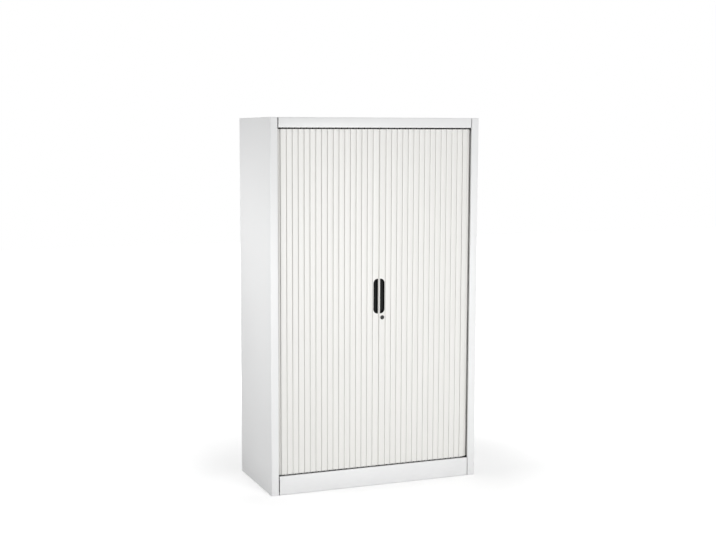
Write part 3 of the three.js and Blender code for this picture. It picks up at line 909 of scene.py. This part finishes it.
@dataclass
class Curtain:
    """One door's curtain: its lead rail, its slats and their pins."""

    dresser: Dresser
    side: Side
    lead_width: float = 31 * MM
    joint: float = 15 * MM
    opening_half: float = 465 * MM
    tail_cover: float = 11.7 * MM
    slats: int = 17
    gap: float = 0.9 * MM
    thickness: float = 9 * MM
    front_round: float = 2.4 * MM
    joint_round: float = 4.2 * MM
    front_steps: int = 4
    rear_chamfer: float = 2.9 * MM
    crown: float = 0.35 * MM
    crown_line: float = 0.3
    crown_reach: float = 0.4
    smooth_angle: float = 50.0
    bend_radius: float = 50 * MM
    bend_start: float = 431 * MM
    pin_radius: float = 2.5 * MM
    pin_length: float = 14 * MM
    pin_sink: float = 2 * MM
    pin_sides: int = 16
    pin_round: float = 0.4 * MM
    lead_pin_inset: float = 6 * MM
    top_cut: float = 1.5 * MM

    def __post_init__(self) -> None:
        """Read the curtain's height and plane from the frame."""
        low, high = span(f"{self.side.word}_slat_01")
        self.bottom = low.z + self.pin_length
        self.top = high.z - self.pin_length - self.top_cut
        self.plane = (low.y + high.y) / 2
        run = self.opening_half + self.joint - self.lead_width + self.tail_cover
        self.pitch = run / self.slats

    def place(self, number: int) -> Matrix:
        """Find where a slat stands: flat in front, or turned where the track bends.

        Args:
            number: The slat's number, from 1 at the lead rail.

        Returns:
            The slat's turn and place.
        """
        along = self.side.value * self.joint + self.lead_width + (number - 0.5) * self.pitch
        past = along - self.bend_start
        turn = max(past, 0.0) / self.bend_radius
        x = along if past <= 0 else self.bend_start + self.bend_radius * math.sin(turn)
        y = self.plane + self.bend_radius * (1 - math.cos(turn))
        spin = Matrix.Rotation(self.side.value * turn, 4, "Z")
        return Matrix.Translation((self.side.value * x, y, 0.0)) @ spin

    def bar(self, name: str, width: float, joint_round: float) -> Piece:
        """Shape a slat's bar about its own middle: rounded and crowned in front, chamfered behind.

        Args:
            name: The piece's name.
            width: The bar's width.
            joint_round: The rounding of the front edge nearer the joint.

        Returns:
            The bar.
        """
        half = Vector((width / 2, self.thickness / 2, 0))
        low = Vector((-half.x, -half.y, self.bottom))
        high = Vector((half.x, half.y, self.top))
        piece = Bench.block(name, low, high)
        Bench.edit(piece, "EDGE", lambda edge: upright(edge) and middle_of(edge).y > 0)
        bpy.ops.mesh.bevel(offset=self.rear_chamfer, segments=1)
        for away, radius in ((1, self.front_round), (-1, joint_round)):
            spot = Vector((away * self.side.value * half.x, -half.y))
            Bench.edit(
                piece, "EDGE", lambda edge: upright(edge) and (middle_of(edge).xy - spot).length < self.crown
            )
            bpy.ops.mesh.bevel(offset=radius, segments=self.front_steps)
        for share in (-self.crown_line, self.crown_line):
            bpy.ops.mesh.select_all(action="SELECT")
            bpy.ops.mesh.bisect(plane_co=(share * width, 0, 0), plane_no=(1, 0, 0))

        def on_crown(edge: Edge) -> bool:
            """Say whether an edge is one of the two upright lines on the bar's front."""
            middle = middle_of(edge)
            return upright(edge) and middle.y < -half.y * FACING and abs(middle.x) < self.crown_reach * width

        Bench.edit(piece, "EDGE", on_crown)
        bpy.ops.transform.translate(value=(0, -self.crown, 0))
        return piece

    def pins(self, name: str, x: float) -> list[Piece]:
        """Make the pins at both ends of a bar.

        Args:
            name: The pieces' name.
            x: Where they stand, from the bar's middle.

        Returns:
            The two pins.
        """
        made = []
        length = self.pin_length + self.pin_sink
        for low in (self.bottom - self.pin_length, self.top + self.top_cut - self.pin_sink):
            Bench.clear()
            bpy.ops.mesh.primitive_cylinder_add(
                vertices=self.pin_sides, radius=self.pin_radius, depth=length
            )
            pin = Bench.named(name)
            pin.data.transform(Matrix.Translation((x, 0, low + length / 2)))
            Bench.round(pin, self.pin_round)
            made.append(pin)
        return made

    def build(self) -> None:
        """Model one slat and its pins, and copy them along the curtain."""
        width = self.pitch - self.gap
        slat = self.bar("slat_pattern", width, self.front_round)
        Bench.smooth(slat, self.smooth_angle)
        pins = Bench.join(self.pins("pin_pattern", 0.0), "pin_pattern")
        Bench.smooth(pins)
        for number in range(1, self.slats + 1):
            node = f"{self.side.word}_slat_{number:02d}"
            move = self.place(number)
            self.dresser.dress(Bench.copy(slat, f"{node}_bar", move), Slot.SLATS, node, node)
            self.dresser.dress(Bench.copy(pins, f"{node}_pins", move), Slot.TRACK, node)
        bpy.data.objects.remove(slat)
        bpy.data.objects.remove(pins)
        self._lead_rail()

    def _lead_rail(self) -> None:
        """Model the lead rail with the cut-out for its grip, and its pins."""
        body = f"{self.side.word}_lead"
        node = f"{body}_rail"
        middle = self.joint + self.side.value * self.lead_width / 2
        move = Matrix.Translation((middle, self.plane, 0))
        rail = self.bar(f"{node}_bar", self.lead_width - self.gap, self.joint_round)
        Bench.clear()
        rail.data.transform(move)
        grip = Grip(self.dresser, self.side)
        Bench.cut(rail, grip.outline(f"{node}_cutter", -FIT_GAP, grip.cut_overrun))
        lock = Lock(self.dresser)
        if self.side is Side.RIGHT:
            Bench.cut(rail, lock.hole())
            catch = lock.catch("cam_stop", lock.stop_place)
        else:
            catch = lock.catch("lock_keep", lock.keep_place)
        rail = Bench.join([rail, catch], rail.name)
        Bench.smooth(rail, self.smooth_angle)
        self.dresser.dress(rail, Slot.SLATS, body, node)
        x = self.joint + self.side.value * self.lead_pin_inset
        pins = Bench.join(self.pins(f"{node}_pins", x), f"{node}_pins")
        pins.data.transform(Matrix.Translation((0, self.plane, 0)))
        Bench.smooth(pins)
        self.dresser.dress(pins, Slot.TRACK, body)


@dataclass
class Grip:
    """A black cup in a lead rail, straight by the joint and round at its outer corners."""

    dresser: Dresser
    side: Side
    corner: float = 20 * MM
    corner_steps: int = 14
    wall: float = 1.3 * MM
    floor: float = 1.4 * MM
    draft: float = 0.93
    rim: float = 0.45 * MM
    rim_steps: int = 3
    cut_overrun: float = 2 * MM

    def outline(self, name: str, inset: float, overrun: float) -> Piece:
        """Shape a block with the grip's outline.

        Args:
            name: The piece's name.
            inset: How far the outline is drawn in all round.
            overrun: How much longer than the grip the block is at both ends.

        Returns:
            The block.
        """
        low, high = span(f"{self.side.word}_grip")
        low += Vector((inset, -overrun, inset))
        high += Vector((-inset, overrun, -inset))
        piece = Bench.block(name, low, high)
        middle = (low.x + high.x) / 2

        def outer_corner(edge: Edge) -> bool:
            """Say whether an edge runs along Y on the side away from the joint."""
            return runs_along(edge, Along.Y) and self.side.value * (middle_of(edge).x - middle) > 0

        Bench.edit(piece, "EDGE", outer_corner)
        bpy.ops.mesh.bevel(offset=self.corner - inset, segments=self.corner_steps)
        Bench.clear()
        return piece

    def build(self) -> None:
        """Hollow the block into a cup and dress it."""
        node = f"{self.side.word}_grip"
        low, high = span(node)
        cup = self.outline(f"{node}_cup", 0.0, 0.0)
        Bench.edit(cup, "FACE", lambda face: face.normal.y < -FACING)
        bpy.ops.mesh.inset(thickness=self.wall)
        depth = high.y - low.y - self.floor
        bpy.ops.mesh.extrude_region_move(TRANSFORM_OT_translate={"value": (0, depth, 0)})
        bpy.ops.transform.resize(value=(self.draft, 1.0, self.draft))
        Bench.soften(cup, self.rim, self.rim_steps)
        self.dresser.dress(cup, Slot.GRIP, f"{self.side.word}_lead", node)


@dataclass
class Lock:
    """The cylinder lock in the right lead rail: barrel with its collar, and the plug with its key slot."""

    dresser: Dresser
    sides: int = 48
    clearance: float = FIT_GAP
    collar: float = 1.5 * MM
    collar_round: float = 0.6 * MM
    collar_steps: int = 3
    body_radius: float = 7.2 * MM
    tail_radius: float = 3.4 * MM
    tail_length: float = 4 * MM
    catch_size: Triple = (3 * MM, 9 * MM, 6 * MM)
    catch_sink: float = 5.7 * MM
    catch_round: float = 0.4 * MM
    hook_width: float = 5 * MM
    keep_play: float = 1.5 * MM
    stop_rise: float = 8 * MM
    slot_width: float = 1.4 * MM
    slot_height: float = 6.5 * MM
    slot_depth: float = 3 * MM
    plug_round: float = 0.2 * MM

    def __post_init__(self) -> None:
        """Read the lock's place from the frame."""
        low, high = span("lock_barrel")
        self.centre = Vector(((low.x + high.x) / 2, low.y, (low.z + high.z) / 2))
        self.collar_radius = (high.x - low.x) / 2
        self.length = high.y - low.y
        plug_low, plug_high = span("lock_plug")
        self.plug_radius = (plug_high.x - plug_low.x) / 2
        self.plug_length = plug_high.y - plug_low.y
        cam_low, cam_high = span("lock_cam")
        reach = cam_high.z - self.centre.z
        catch_y = high.y - self.catch_sink
        keep_x = self.centre.x - reach + self.hook_width + self.keep_play
        keep_z = cam_low.z - self.clearance - self.catch_size[2]
        self.keep_place = Vector((keep_x, catch_y, keep_z))
        self.stop_place = Vector((cam_high.x + self.clearance, catch_y, self.centre.z + self.stop_rise))

    def hole(self) -> Piece:
        """Make the tool that cuts the barrel's hole through the lead rail."""
        radius = self.body_radius + self.clearance
        return Bench.drum("lock_hole", self.centre, radius, self.length, self.sides)

    def catch(self, name: str, place: Vector) -> Piece:
        """Make a small block behind a lead rail: the hook's keep on the left, the cam's stop on the right.

        Args:
            name: The block's name.
            place: Its lowest corner.

        Returns:
            The block.
        """
        piece = Bench.block(name, place, place + Vector(self.catch_size))
        Bench.round(piece, self.catch_round, everywhere=True)
        return piece

    def build(self) -> None:
        """Turn the barrel and the plug and dress them."""
        body = (self.body_radius, self.length - self.collar)
        barrel = self._turned("lock_barrel_collar", (self.collar_radius, self.collar), body)
        radius = self.plug_radius + self.clearance
        bore = Bench.drum("lock_bore", self.centre, radius, self.length * 3, self.sides)
        bore.data.transform(Matrix.Translation((0, -self.length, 0)))
        Bench.cut(barrel, bore)
        Bench.soften(barrel, self.collar_round, self.collar_steps)
        self.dresser.dress(barrel, Slot.LOCK, "right_lead", "lock_barrel")

        front = (self.plug_radius, self.plug_length - self.tail_length)
        plug = self._turned("lock_plug_turned", front, (self.tail_radius, self.tail_length))
        half = Vector((self.slot_width / 2, self.slot_depth, self.slot_height / 2))
        Bench.cut(plug, Bench.block("key_slot", self.centre - half, self.centre + half))
        Bench.soften(plug, self.plug_round)
        self.dresser.dress(plug, Slot.LOCK, "lock", "lock_plug")
        self.dresser.finish_node("lock_cam", Slot.ZINC)

    def _turned(self, name: str, front: Pair, tail: Pair) -> Piece:
        """Turn a drum with a narrower tail behind it.

        Args:
            name: The piece's name.
            front: The radius and length of its front.
            tail: The radius and length of its tail.

        Returns:
            The piece.
        """
        piece = Bench.drum(name, self.centre, *front, self.sides)
        Bench.edit(piece, "FACE", lambda face: face.normal.y > FACING)
        bpy.ops.mesh.inset(thickness=front[0] - tail[0])
        bpy.ops.mesh.extrude_region_move(TRANSFORM_OT_translate={"value": (0, tail[1], 0)})
        return piece


@dataclass(frozen=True)
class Lamp:
    """A square soft box aimed at the middle of the cabinet."""

    name: str
    place: Triple
    size: float
    power: float

    def hang(self, aim: Vector) -> None:
        """Hang the lamp.

        Args:
            aim: The point that it faces.
        """
        light = bpy.data.lights.new(self.name, "AREA")
        light.size = self.size
        light.energy = self.power
        lamp = bpy.data.objects.new(self.name, light)
        lamp.location = self.place
        lamp.rotation_euler = (aim - Vector(self.place)).to_track_quat("-Z", "Y").to_euler()
        bpy.context.scene.collection.objects.link(lamp)


# One soft box for each face, weaker behind, on the right and above
LAMPS = (
    Lamp("key", (0.3, -3.0, 0.98), 1.2, 47.5),
    Lamp("fill", (-1.8, -0.1, 1.1), 0.6, 11.0),
    Lamp("right", (2.1, 0.1, 1.1), 0.6, 7.5),
    Lamp("rear", (0.0, 2.6, 1.0), 1.2, 13.0),
    Lamp("above", (0.0, 0.02, 3.2), 0.4, 8.5),
)


@dataclass(frozen=True)
class Studio:
    """The floor, the light and the camera of the photograph."""

    eye: Triple = (-2.138, -5.190, 1.579)
    yaw: float = 20.70
    pitch: float = -6.28
    lens: float = 61.2
    shift: float = 0.05
    floor_half: float = 12.0
    shadow_reach: float = 0.7
    white_reach: float = 2.4
    near_lift: float = 0.36
    floor_drop: float = 0.5 * MM
    floor_tone: float = 0.78
    floor_roughness: float = 0.9
    ambient: float = 0.34
    lamp_aim: Triple = (0.0, 0.0, 0.85)

    def build(self) -> None:
        """Make the floor, the world, the lamps and the camera."""
        self._floor()
        self._world()
        for lamp in LAMPS:
            lamp.hang(Vector(self.lamp_aim))
        self._camera()
        bpy.context.scene.view_settings.view_transform = "Standard"

    def _floor(self) -> None:
        """Lay a pale floor that keeps the object's shadow."""
        Bench.clear()
        bpy.ops.mesh.primitive_plane_add(size=2 * self.floor_half)
        floor = Bench.named("floor")
        floor.data.transform(Matrix.Translation((0, 0, -self.floor_drop)))
        made = bpy.data.materials.new("pale_floor")
        made.use_nodes = True
        tree = made.node_tree
        shader = tree.nodes["Principled BSDF"]
        tone = (*[self.floor_tone] * 3, 1.0)
        matt = {"Base Color": tone, "Roughness": self.floor_roughness, "Specular IOR Level": 0.0}
        feed(tree, shader, matt)
        rays = tree.nodes.new("ShaderNodeLightPath")
        lift = math_node(tree, "MULTIPLY", rays.outputs["Is Camera Ray"], self._floor_lift(tree))
        glow = add_node(tree, "Emission", {"Strength": lift})
        both = add_node(tree, "AddShader", {0: shader.outputs["BSDF"], 1: glow.outputs["Emission"]})
        feed(tree, tree.nodes["Material Output"], {"Surface": both.outputs["Shader"]})
        floor.data.materials.append(made)

    def _floor_lift(self, tree: Tree) -> Socket:
        """Lift the floor to white with the distance from the object, so that no horizon shows.

        Args:
            tree: The floor material's tree.

        Returns:
            The lift's socket.
        """
        place = tree.nodes.new("ShaderNodeTexCoord")
        length = tree.nodes.new("ShaderNodeVectorMath")
        length.operation = "LENGTH"
        feed(tree, length, {0: place.outputs["Object"]})
        reach = {"From Min": self.shadow_reach, "From Max": self.white_reach}
        lift = {"To Min": self.near_lift, "To Max": 1.0, "Value": length.outputs["Value"]}
        ramp = add_node(tree, "MapRange", {**reach, **lift})
        return ramp.outputs["Result"]

    def _world(self) -> None:
        """Light from all round, with a white background for what looks past the object."""
        world = bpy.data.worlds.new("studio")
        bpy.context.scene.world = world
        world.use_nodes = True
        tree = world.node_tree
        ambient = tree.nodes["Background"]
        feed(tree, ambient, {"Color": WHITE, "Strength": self.ambient})
        white = add_node(tree, "Background", {"Color": WHITE, "Strength": 1.0})
        rays = tree.nodes.new("ShaderNodeLightPath")
        seen = math_node(tree, "MAXIMUM", rays.outputs["Is Camera Ray"], rays.outputs["Is Glossy Ray"])
        seen = math_node(tree, "MAXIMUM", seen, rays.outputs["Is Transmission Ray"])
        sources = {"Fac": seen, 1: ambient.outputs["Background"], 2: white.outputs["Background"]}
        mix = add_node(tree, "MixShader", sources)
        feed(tree, tree.nodes["World Output"], {"Surface": mix.outputs["Shader"]})

    def _camera(self) -> None:
        """Set the camera at the photograph's angle."""
        data = bpy.data.cameras.new("camera")
        data.lens = self.lens
        data.shift_x = self.shift
        camera = bpy.data.objects.new("camera", data)
        camera.location = self.eye
        camera.rotation_euler = (math.radians(90 + self.pitch), 0.0, math.radians(-self.yaw))
        bpy.context.scene.collection.objects.link(camera)
        bpy.context.scene.camera = camera


def main() -> None:
    """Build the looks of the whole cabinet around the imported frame."""
    logging.basicConfig(level=logging.INFO, format="%(name)s: %(message)s")
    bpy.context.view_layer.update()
    sheet = SheetMetal()
    dresser = Dresser()
    Carcass(dresser, sheet).build()
    ShelfRails(dresser, sheet).build()
    for side in Side:
        Curtain(dresser, side).build()
        Grip(dresser, side).build()
    Lock(dresser).build()
    Studio().build()
    LOG.info("%d pieces made", dresser.count)


if __name__ == "__main__":
    main()
